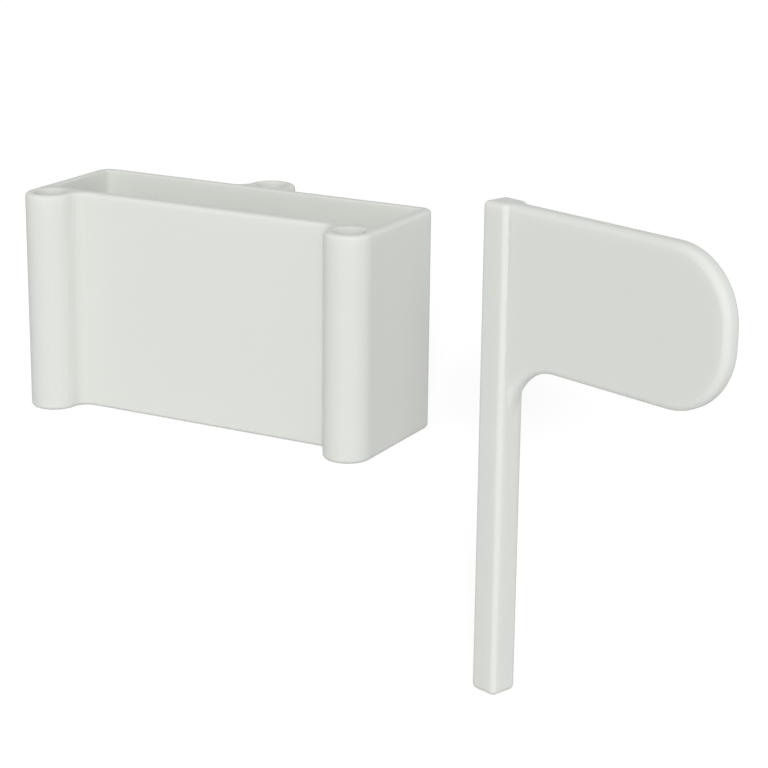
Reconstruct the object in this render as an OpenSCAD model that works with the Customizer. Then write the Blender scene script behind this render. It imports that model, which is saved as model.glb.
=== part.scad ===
// Stair gate latch: a moulded sleeve that slips over the end of a gate's board,
// with three pin bosses, and a flag latch whose pin drops into any of them.
// Millimetres. The origin is the middle of the pocket's open lower end, +Z up.

/* [Board pocket] */
// Width of the board that the pocket takes
board_w = 74; // [50:1:120]
// Thickness of the board that the pocket takes
board_t = 19; // [12:0.5:40]
// Play between the board and each end of the pocket
board_play_w = 0.5; // [0.2:0.1:1.5]
// Play between the board and each long side of the pocket
board_play_t = 0.3; // [0.1:0.1:1]
// Inside corner radius of the pocket
pocket_corner = 0.8; // [0.3:0.1:1.5]

/* [Sleeve] */
// Height of the sleeve and of its bosses
sleeve_h = 45; // [20:1:90]
// Wall thickness of the sleeve
wall = 2.2; // [1.6:0.1:3.5]
// Outside radius of the two back corners
back_corner = 3; // [1.2:0.1:4]
// Rounding of the sleeve's outer edges, above and below
rim_round = 0.8; // [0.3:0.05:1]

/* [Pin bosses] */
// Diameter of each bore
bore_d = 6.2; // [5:0.1:9]
// Material around each bore
boss_wall = 1.8; // [1.2:0.1:3]
// How far each bore's axis stands outside the wall that carries it, which is also
// the radius of the fillets beside the boss
boss_stand = 2.7; // [1.5:0.1:4]

/* [Latch pin] */
// Radial clearance between the square pin's corners and the bore
pin_play = 0.1; // [0.05:0.01:0.4]
// Radius along the pin's four edges and round its two ends
pin_corner = 0.8; // [0.4:0.05:1.2]
// Length of the pin below the flag
pin_len = 51.3; // [30:0.1:90]

/* [Latch flag] */
// Distance from the pin's axis to the end of the flag
flag_reach = 42; // [25:0.1:70]
// Height of the flag
flag_h = 23; // [14:0.1:40]
// Thickness of the flag
flag_thick = 2.9; // [2:0.1:3.5]
// Rounding of the flag's edges
flag_round = 1.05; // [0.3:0.05:1.3]
// Radius of the two outer corners of the flag
flag_corner = 10.2; // [2:0.1:15]
// Radius of the fillet under the flag, against the pin
web_fillet = 8.7; // [3:0.1:12]

/* [Where the latch stands] */
// Place of the pin's axis to the right of the pocket's middle
latch_x = 107; // [90:0.1:160]
// Place of the pin's axis in front of the pocket's middle
latch_front = 99.4; // [50:0.1:150]
// Turn of the flag to the front, away from the sleeve's long side
flag_turn = 19.6; // [0:0.1:60]

/* [Hidden] */
$fn = 96;
plastic = [0.86, 0.87, 0.85];

pocket_w = board_w + 2 * board_play_w;
pocket_d = board_t + 2 * board_play_t;
outer_w = pocket_w + 2 * wall;
outer_d = pocket_d + 2 * wall;

boss_r = bore_d / 2 + boss_wall;
boss_x = outer_w / 2 - boss_r;
boss_y = outer_d / 2 + boss_stand;
// From a boss's axis to the end of the fillet beside it
boss_reach = boss_r + boss_stand;

// The square pin's round corners turn inside the bore with the pin's clearance. Its
// width across the flats is cut down to a whole hundredth of a millimetre.
pin_reach = bore_d / 2 - pin_play;
pin_w = floor(200 * ((pin_reach - pin_corner) / sqrt(2) + pin_corner)) / 100;
pin_flat = pin_w / 2 - pin_corner;

latch_h = pin_len + flag_h;
edge_round = min(flag_round, flag_thick / 2 - 0.05);
end_corner = min(flag_corner, flag_h / 2 - 0.05);
end_x = flag_reach - end_corner;
web_x = pin_w / 2 + web_fillet;
web_z = pin_len - web_fillet;

// Rectangle about the origin with four equal round corners
module rounded_rect(w, d, r) {
    square([w - 2 * r, d], center = true);
    square([w, d - 2 * r], center = true);
    for (x = [-1, 1], y = [-1, 1])
        translate([x * (w / 2 - r), y * (d / 2 - r)]) circle(r = r);
}

module both_sides() {
    children();
    mirror([1, 0, 0]) children();
}

// Section of a rounded edge, from the inset outline outward along X and up along Y
module quarter_round(r) {
    intersection() {
        circle(r = r);
        square(r);
    }
}

// Rounded edge above a straight side, which runs along +X and faces +Y
module straight_rim(length, r) {
    rotate([90, 0, 90]) linear_extrude(length) quarter_round(r);
}

// Rounded edge above an outside corner or a boss, from +X round to turn
module outer_rim(corner_r, r, turn) {
    rotate_extrude(angle = turn) translate([corner_r - r, 0]) quarter_round(r);
}

// Rounded edge above a quarter fillet about the origin, from +X to +Y
module inner_rim(fillet_r, r) {
    rotate_extrude(angle = 90) translate([fillet_r + r, 0]) scale([-1, 1]) quarter_round(r);
}

// ---- Sleeve ----

// Puts its children on the wall's face at each boss, with +Y pointing out of the
// wall and, at a front corner, +X towards the middle
module front_boss_places() {
    for (side = [-1, 1])
        translate([side * boss_x, -outer_d / 2]) scale([-side, -1]) children();
}

module rear_boss_place() {
    translate([0, outer_d / 2]) children();
}

module boss_round(r) {
    translate([0, boss_stand]) circle(r = r);
}

// Quarter fillet between the wall and the boss, drawn in from its edge by inset
module boss_blend(inset) {
    difference() {
        translate([0, -inset]) square([boss_reach, boss_stand + inset]);
        translate([boss_reach, boss_stand]) circle(r = boss_stand + inset);
    }
}

// Outline of the walls and bosses, drawn in from its edge by inset
module sleeve_outline(inset) {
    // Walls: square at the front, where the bosses are, and rounded at the back
    rounded_rect(outer_w - 2 * inset, outer_d - 2 * inset, back_corner - inset);
    translate([-outer_w / 2 + inset, -outer_d / 2 + inset])
        square([outer_w - 2 * inset, outer_d / 2 - inset]);
    front_boss_places() {
        boss_round(boss_r - inset);
        boss_blend(inset);
        // Flank between the boss and the side wall that it is flush with
        translate([-boss_r + inset, -inset]) square([boss_r - inset, boss_stand + inset]);
    }
    rear_boss_place() {
        boss_round(boss_r - inset);
        for (side = [-1, 1]) scale([side, 1]) boss_blend(inset);
    }
}

// Rounded edge round the whole sleeve, from its face up to the top, from z = 0
module sleeve_rim() {
    front_run = boss_x - boss_reach;
    back_run = outer_w / 2 - back_corner - boss_reach;
    side_run = outer_d / 2 - back_corner + boss_y;
    translate([front_run, -outer_d / 2 + rim_round])
        rotate([0, 0, 180]) straight_rim(2 * front_run, rim_round);
    translate([0, boss_y]) outer_rim(boss_r, rim_round, 180);
    both_sides() {
        translate([front_run, -boss_y]) inner_rim(boss_stand, rim_round);
        translate([boss_x, -boss_y]) rotate([0, 0, 180]) outer_rim(boss_r, rim_round, 180);
        translate([outer_w / 2 - rim_round, outer_d / 2 - back_corner])
            rotate([0, 0, -90]) straight_rim(side_run, rim_round);
        translate([outer_w / 2 - back_corner, outer_d / 2 - back_corner])
            outer_rim(back_corner, rim_round, 90);
        translate([boss_reach, outer_d / 2 - rim_round]) straight_rim(back_run, rim_round);
        translate([boss_reach, boss_y]) rotate([0, 0, 180]) inner_rim(boss_stand, rim_round);
    }
}

module sleeve() {
    color(plastic) difference() {
        union() {
            linear_extrude(sleeve_h) sleeve_outline(rim_round);
            translate([0, 0, rim_round])
                linear_extrude(sleeve_h - 2 * rim_round) sleeve_outline(0);
            translate([0, 0, sleeve_h - rim_round]) sleeve_rim();
            translate([0, 0, rim_round]) mirror([0, 0, 1]) sleeve_rim();
        }
        translate([0, 0, -1]) linear_extrude(sleeve_h + 2)
            rounded_rect(pocket_w, pocket_d, pocket_corner);
        translate([0, 0, -1]) linear_extrude(sleeve_h + 2) {
            front_boss_places() boss_round(bore_d / 2);
            rear_boss_place() boss_round(bore_d / 2);
        }
    }
}

// ---- Latch ----

// Rounded edges round one end of the pin, from z = 0 up
module pin_end() {
    for (turn = [0, 90, 180, 270]) rotate([0, 0, turn]) {
        translate([-pin_flat, pin_flat]) straight_rim(2 * pin_flat, pin_corner);
        translate([pin_flat, pin_flat]) outer_rim(pin_corner, pin_corner, 90);
    }
}

module pin() {
    linear_extrude(latch_h) square(2 * pin_flat, center = true);
    translate([0, 0, pin_corner])
        linear_extrude(latch_h - 2 * pin_corner) rounded_rect(pin_w, pin_w, pin_corner);
    translate([0, 0, latch_h - pin_corner]) pin_end();
    translate([0, 0, pin_corner]) mirror([0, 0, 1]) pin_end();
}

// Outline of the flag and its web in X and Z, drawn in from its edge by inset
module flag_outline(inset) {
    difference() {
        union() {
            translate([0, pin_len + inset]) square([end_x, flag_h - 2 * inset]);
            translate([0, pin_len + end_corner])
                square([flag_reach - inset, flag_h - 2 * end_corner]);
            for (z = [pin_len + end_corner, latch_h - end_corner])
                translate([end_x, z]) circle(r = end_corner - inset);
            translate([0, web_z]) square([web_x, web_fillet + inset]);
        }
        translate([web_x, web_z]) circle(r = web_fillet + inset);
    }
}

// Half section of the flag's rounded edge, from the inset outline outward along X
module edge_section() {
    flat = flag_thick / 2 - edge_round;
    translate([0, -flat]) square([edge_round, 2 * flat]);
    for (side = [-1, 1]) intersection() {
        translate([0, side * flat]) circle(r = edge_round);
        translate([0, -flag_thick]) square(2 * flag_thick);
    }
}

// A straight edge that runs along +X from the origin and bulges towards +Z
module straight_edge(length) {
    rotate([0, 90, 0]) linear_extrude(length) scale([-1, 1]) edge_section();
}

// Quarter of a round edge in the XZ plane, from +X towards +Z
module round_edge(r, outward) {
    rotate([90, 0, 0]) rotate_extrude(angle = 90)
        translate([r, 0]) scale([outward, 1]) edge_section();
}

module flag() {
    rotate([90, 0, 0]) linear_extrude(flag_thick, center = true) flag_outline(edge_round);
    // Top edge, outer corners, end, lower edge, and the fillet under the flag
    translate([0, 0, latch_h - edge_round]) straight_edge(end_x);
    translate([end_x, 0, latch_h - end_corner]) round_edge(end_corner - edge_round, 1);
    translate([flag_reach - edge_round, 0, latch_h - end_corner])
        rotate([0, 90, 0]) straight_edge(flag_h - 2 * end_corner);
    translate([end_x, 0, pin_len + end_corner])
        rotate([0, 90, 0]) round_edge(end_corner - edge_round, 1);
    translate([web_x, 0, pin_len + edge_round])
        mirror([0, 0, 1]) straight_edge(end_x - web_x);
    translate([web_x, 0, web_z]) rotate([0, -90, 0]) round_edge(web_fillet + edge_round, -1);
}

module latch() {
    color(plastic) translate([latch_x, -latch_front, 0]) rotate([0, 0, -flag_turn]) {
        pin();
        flag();
    }
}

sleeve();
latch();
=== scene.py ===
import math

import bmesh
import bpy
from mathutils import Matrix, Vector

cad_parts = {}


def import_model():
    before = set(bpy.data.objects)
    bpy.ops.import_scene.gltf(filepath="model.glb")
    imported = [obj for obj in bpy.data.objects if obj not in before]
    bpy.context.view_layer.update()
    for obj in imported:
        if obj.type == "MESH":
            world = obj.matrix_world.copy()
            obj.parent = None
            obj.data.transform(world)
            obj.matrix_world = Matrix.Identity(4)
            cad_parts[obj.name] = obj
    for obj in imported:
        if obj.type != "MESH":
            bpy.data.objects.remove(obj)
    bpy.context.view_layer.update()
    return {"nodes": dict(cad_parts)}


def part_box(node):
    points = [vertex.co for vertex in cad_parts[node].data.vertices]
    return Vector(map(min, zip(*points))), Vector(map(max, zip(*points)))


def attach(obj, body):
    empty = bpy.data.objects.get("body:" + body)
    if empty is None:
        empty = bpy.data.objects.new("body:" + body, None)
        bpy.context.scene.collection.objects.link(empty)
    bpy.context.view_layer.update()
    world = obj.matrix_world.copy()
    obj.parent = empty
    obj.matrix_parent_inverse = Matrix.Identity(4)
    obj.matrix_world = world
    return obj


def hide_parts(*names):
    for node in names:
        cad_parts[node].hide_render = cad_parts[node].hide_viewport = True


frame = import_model()

# Lengths below are in millimetres and angles in degrees, unless a comment says otherwise
MM = 0.001

# Radius of the edges that the mould leaves soft, and the steps of their bevels: round
# the outside of the sleeve, as in its solid, and at the mouths of its pocket and bores
OUTER_ROUND, OUTER_STEPS = 0.8, 6
MOUTH_ROUND, MOUTH_STEPS = 0.2, 3

# Vertices of the solid nearer than this are one
MERGE_WITHIN = 0.0005
# An outline that turns less than this at a vertex is straight there
STRAIGHT_ANGLE = 0.5
# Faces that meet at more than this are shaded with a sharp edge between them
SHARP_ANGLE = 35

# Spacing and depth of the bumps that the blasted mould leaves, width of the flow marks,
# and how far light spreads inside the plastic
SKIN_BUMPS = 0.25
SKIN_DEPTH = 0.02
FLOW_MARKS = 12
LIGHT_SPREAD = 2

# View of the two mouldings standing side by side: from the front right, a little above
VIEW_AZIMUTH = 28.134
VIEW_ELEVATION = 16.572
VIEW_ROLL = 0.668
VIEW_DISTANCE = 483.7
VIEW_AIM = (23.128, 21.8, 3.642)
LENS = 108.0
CLIP_START = 10

PLASTIC_COLOUR = "E6E8E3"
FLOOR_COLOUR = "DCDCDC"
# Half the width of the floor, in metres
FLOOR_REACH = 6.0
# What the floor adds for the camera alone, so that it shows white outside the shadows
FLOOR_LIFT = 0.55
# Even light of the white room round the object
ROOM_LIGHT = 0.54
# Soft box behind the camera: its angle above the line of view, its distance and width
# in metres, its power in watts, and the point that it faces
SOFTBOX_ABOVE = 2.5
SOFTBOX_DISTANCE = 8.0
SOFTBOX_WIDTH = 1.5
SOFTBOX_POWER = 304.0
SOFTBOX_AIM = (45, -30, 30)


# ---- Small helpers ----

def linear(hex_colour):
    """sRGB hex to the linear RGBA that the shader takes."""
    channels = [int(hex_colour[i:i + 2], 16) / 255 for i in (0, 2, 4)]
    light = [c / 12.92 if c <= 0.04045 else ((c + 0.055) / 1.055) ** 2.4
             for c in channels]
    return light + [1.0]


def direction(azimuth, elevation):
    """Unit vector from the object to a place so many degrees round it and above it."""
    azimuth, elevation = math.radians(azimuth), math.radians(elevation)
    return Vector((math.sin(azimuth) * math.cos(elevation),
                   -math.cos(azimuth) * math.cos(elevation), math.sin(elevation)))


def add_node(material, kind, settings=None, links=None):
    """Adds a shader node, sets its properties and sockets, and links its inputs."""
    tree = material.node_tree
    node = tree.nodes.new(kind)
    for name, value in (settings or {}).items():
        if isinstance(name, str) and hasattr(node, name):
            setattr(node, name, value)
        else:
            node.inputs[name].default_value = value
    for name, output in (links or {}).items():
        tree.links.new(output, node.inputs[name])
    return node


def new_material(name):
    material = bpy.data.materials.new(name)
    material.use_nodes = True
    material.node_tree.nodes.clear()
    return material


# ---- Materials ----

def moulded_polypropylene():
    """Off-white polypropylene from a fine-blasted mould: a dull satin skin, and a body
    that lets light in, so thin walls, mouths and rounded edges look soft."""
    material = new_material("off_white_moulded_polypropylene")
    place = add_node(material, "ShaderNodeTexCoord").outputs["Object"]
    skin = add_node(material, "ShaderNodeTexNoise",
                    {"Scale": 1 / (SKIN_BUMPS * MM), "Detail": 2.0}, {"Vector": place})
    # Flow marks and handling leave the skin a little more or less dull
    flow = add_node(material, "ShaderNodeTexNoise",
                    {"Scale": 1 / (FLOW_MARKS * MM), "Detail": 3.0}, {"Vector": place})
    gloss = add_node(material, "ShaderNodeMapRange",
                     {"From Min": 0.3, "From Max": 0.7, "To Min": 0.6, "To Max": 0.68},
                     {"Value": flow.outputs["Fac"]})
    bump = add_node(material, "ShaderNodeBump",
                    {"Strength": 0.06, "Distance": SKIN_DEPTH * MM},
                    {"Height": skin.outputs["Fac"]})
    surface = add_node(material, "ShaderNodeBsdfPrincipled",
                       {"Base Color": linear(PLASTIC_COLOUR), "IOR": 1.49,
                        "Specular IOR Level": 0.2, "Subsurface Weight": 0.8,
                        "Subsurface Radius": (1.0, 1.0, 1.0),
                        "Subsurface Scale": LIGHT_SPREAD * MM},
                       {"Roughness": gloss.outputs["Result"],
                        "Normal": bump.outputs["Normal"]})
    add_node(material, "ShaderNodeOutputMaterial",
             links={"Surface": surface.outputs["BSDF"]})
    return material


def studio_floor():
    """Pale paper sweep that keeps the shadow and shows white around the object."""
    material = new_material("pale_paper_sweep")
    paper = add_node(material, "ShaderNodeBsdfDiffuse", {"Color": linear(FLOOR_COLOUR)})
    seen = add_node(material, "ShaderNodeLightPath")
    lift = add_node(material, "ShaderNodeMath",
                    {"operation": "MULTIPLY", 1: FLOOR_LIFT},
                    {0: seen.outputs["Is Camera Ray"]})
    glow = add_node(material, "ShaderNodeEmission",
                    links={"Strength": lift.outputs["Value"]})
    both = add_node(material, "ShaderNodeAddShader",
                    links={0: paper.outputs["BSDF"], 1: glow.outputs["Emission"]})
    add_node(material, "ShaderNodeOutputMaterial",
             links={"Surface": both.outputs["Shader"]})
    return material


# ---- Pieces ----

def cad_copy(node):
    """The node's solid as a merged mesh of its own."""
    bm = bmesh.new()
    bm.from_mesh(frame["nodes"][node].data)
    bmesh.ops.remove_doubles(bm, verts=bm.verts, dist=MERGE_WITHIN * MM)
    return bm


def finish_piece(name, bm, body, node, material):
    """Makes the object, smooths it over its rounded edges and sets it on its body."""
    mesh = bpy.data.meshes.new(name)
    bm.to_mesh(mesh)
    bm.free()
    mesh.shade_smooth()
    mesh.set_sharp_from_angle(angle=math.radians(SHARP_ANGLE))
    mesh.materials.append(material)
    piece = bpy.data.objects.new(name, mesh)
    bpy.context.scene.collection.objects.link(piece)
    even = piece.modifiers.new("even_shading", "WEIGHTED_NORMAL")
    even.keep_sharp = True
    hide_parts(node)
    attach(piece, body)
    return piece


def rim_loops(bm):
    """The closed loops of edges between the flat ends and the walls, widest first."""
    # One face beside such an edge lies level and the other stands upright. The edges stay
    # in the mesh's own order, so that each run gives the same mesh.
    rims = dict.fromkeys(
        e for e in bm.edges
        if abs(abs(e.link_faces[0].normal.z) - abs(e.link_faces[1].normal.z)) > 0.9)
    loops = []
    while rims:
        loop, ends = [], [rims.popitem()[0]]
        while ends:
            edge = ends.pop()
            loop.append(edge)
            for beside in [e for v in edge.verts for e in v.link_edges if e in rims]:
                del rims[beside]
                ends.append(beside)
        loops.append(loop)
    return sorted(loops, key=loop_width, reverse=True)


def loop_width(loop):
    across = [v.co.x for e in loop for v in e.verts]
    return max(across) - min(across)


def round_rims(bm, loops, radius, steps):
    bmesh.ops.bevel(bm, geom=[e for loop in loops for e in loop], offset=radius * MM,
                    segments=steps, profile=0.5, affect="EDGES", material=-1)


def sleeve_piece(material):
    """The sleeve's outline at mid-height, drawn to its full height, its rims rounded."""
    low, high = (corner.z for corner in map(Vector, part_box("sleeve")))
    bm = cad_copy("sleeve")
    bmesh.ops.bisect_plane(bm, geom=bm.verts[:] + bm.edges[:] + bm.faces[:],
                           plane_co=(0, 0, (low + high) / 2), plane_no=(0, 0, 1),
                           clear_inner=True, clear_outer=True)
    between = [v for v in bm.verts if v.calc_edge_angle() < math.radians(STRAIGHT_ANGLE)]
    bmesh.ops.dissolve_verts(bm, verts=between)
    bmesh.ops.triangle_fill(bm, edges=bm.edges[:], use_beauty=True)
    bmesh.ops.translate(bm, verts=bm.verts[:], vec=(0, 0, (low - high) / 2))
    drawn = bmesh.ops.extrude_face_region(bm, geom=bm.faces[:])["geom"]
    lifted = [v for v in drawn if isinstance(v, bmesh.types.BMVert)]
    bmesh.ops.translate(bm, verts=lifted, vec=(0, 0, high - low))
    bmesh.ops.recalc_face_normals(bm, faces=bm.faces[:])
    # The two widest loops run round the outside, and the rest are the mouths
    round_rims(bm, rim_loops(bm)[:2], OUTER_ROUND, OUTER_STEPS)
    round_rims(bm, rim_loops(bm), MOUTH_ROUND, MOUTH_STEPS)
    # The operators list new faces in no fixed order, so they are put in one by place
    slant = Vector((1, 3, 7))
    bm.faces.sort(key=lambda face: face.calc_center_median().dot(slant))
    return finish_piece("pocket_sleeve", bm, "sleeve", "sleeve", material)


def latch_piece(material):
    bm = cad_copy("latch")
    return finish_piece("flag_latch", bm, "latch", "latch", material)


# ---- Studio ----

def floor():
    bm = bmesh.new()
    bmesh.ops.create_grid(bm, x_segments=1, y_segments=1, size=FLOOR_REACH)
    mesh = bpy.data.meshes.new("studio_floor")
    bm.to_mesh(mesh)
    bm.free()
    mesh.materials.append(studio_floor())
    piece = bpy.data.objects.new("studio_floor", mesh)
    bpy.context.scene.collection.objects.link(piece)


def view_axes():
    """Right, up and back of the camera, before its roll."""
    azimuth = math.radians(VIEW_AZIMUTH)
    back = direction(VIEW_AZIMUTH, VIEW_ELEVATION)
    right = Vector((math.cos(azimuth), math.sin(azimuth), 0))
    return right, back.cross(right), back


def camera():
    right, up, back = view_axes()
    roll = Matrix.Rotation(math.radians(VIEW_ROLL), 3, back)
    turn = Matrix((right, up, back)).transposed()
    data = bpy.data.cameras.new("camera")
    data.lens = LENS
    data.clip_start = CLIP_START * MM
    piece = bpy.data.objects.new("camera", data)
    bpy.context.scene.collection.objects.link(piece)
    place = Vector(VIEW_AIM) * MM + back * VIEW_DISTANCE * MM
    piece.matrix_world = Matrix.Translation(place) @ (roll @ turn).to_4x4()
    bpy.context.scene.camera = piece


def softbox():
    """A round lamp in line with the view, so that each shadow falls behind its piece."""
    way = direction(VIEW_AZIMUTH, VIEW_ELEVATION + SOFTBOX_ABOVE)
    data = bpy.data.lights.new("frontal_softbox", "AREA")
    data.shape = "DISK"
    data.size = SOFTBOX_WIDTH
    data.energy = SOFTBOX_POWER
    piece = bpy.data.objects.new("frontal_softbox", data)
    bpy.context.scene.collection.objects.link(piece)
    place = Vector(SOFTBOX_AIM) * MM + way * SOFTBOX_DISTANCE
    piece.matrix_world = (Matrix.Translation(place)
                          @ way.to_track_quat("Z", "Y").to_matrix().to_4x4())


def world():
    """A white room: even light on the object, and plain white where the camera sees it."""
    sky = bpy.data.worlds.new("white_room")
    sky.use_nodes = True
    sky.node_tree.nodes.clear()
    seen = add_node(sky, "ShaderNodeLightPath")
    level = add_node(sky, "ShaderNodeMapRange", {"To Min": ROOM_LIGHT, "To Max": 1.0},
                     {"Value": seen.outputs["Is Camera Ray"]})
    dome = add_node(sky, "ShaderNodeBackground", {"Color": (1, 1, 1, 1)},
                    {"Strength": level.outputs["Result"]})
    add_node(sky, "ShaderNodeOutputWorld", links={"Surface": dome.outputs["Background"]})
    bpy.context.scene.world = sky


plastic = moulded_polypropylene()
sleeve_piece(plastic)
latch_piece(plastic)
floor()
world()
softbox()
camera()
bpy.context.scene.view_settings.view_transform = "Standard"
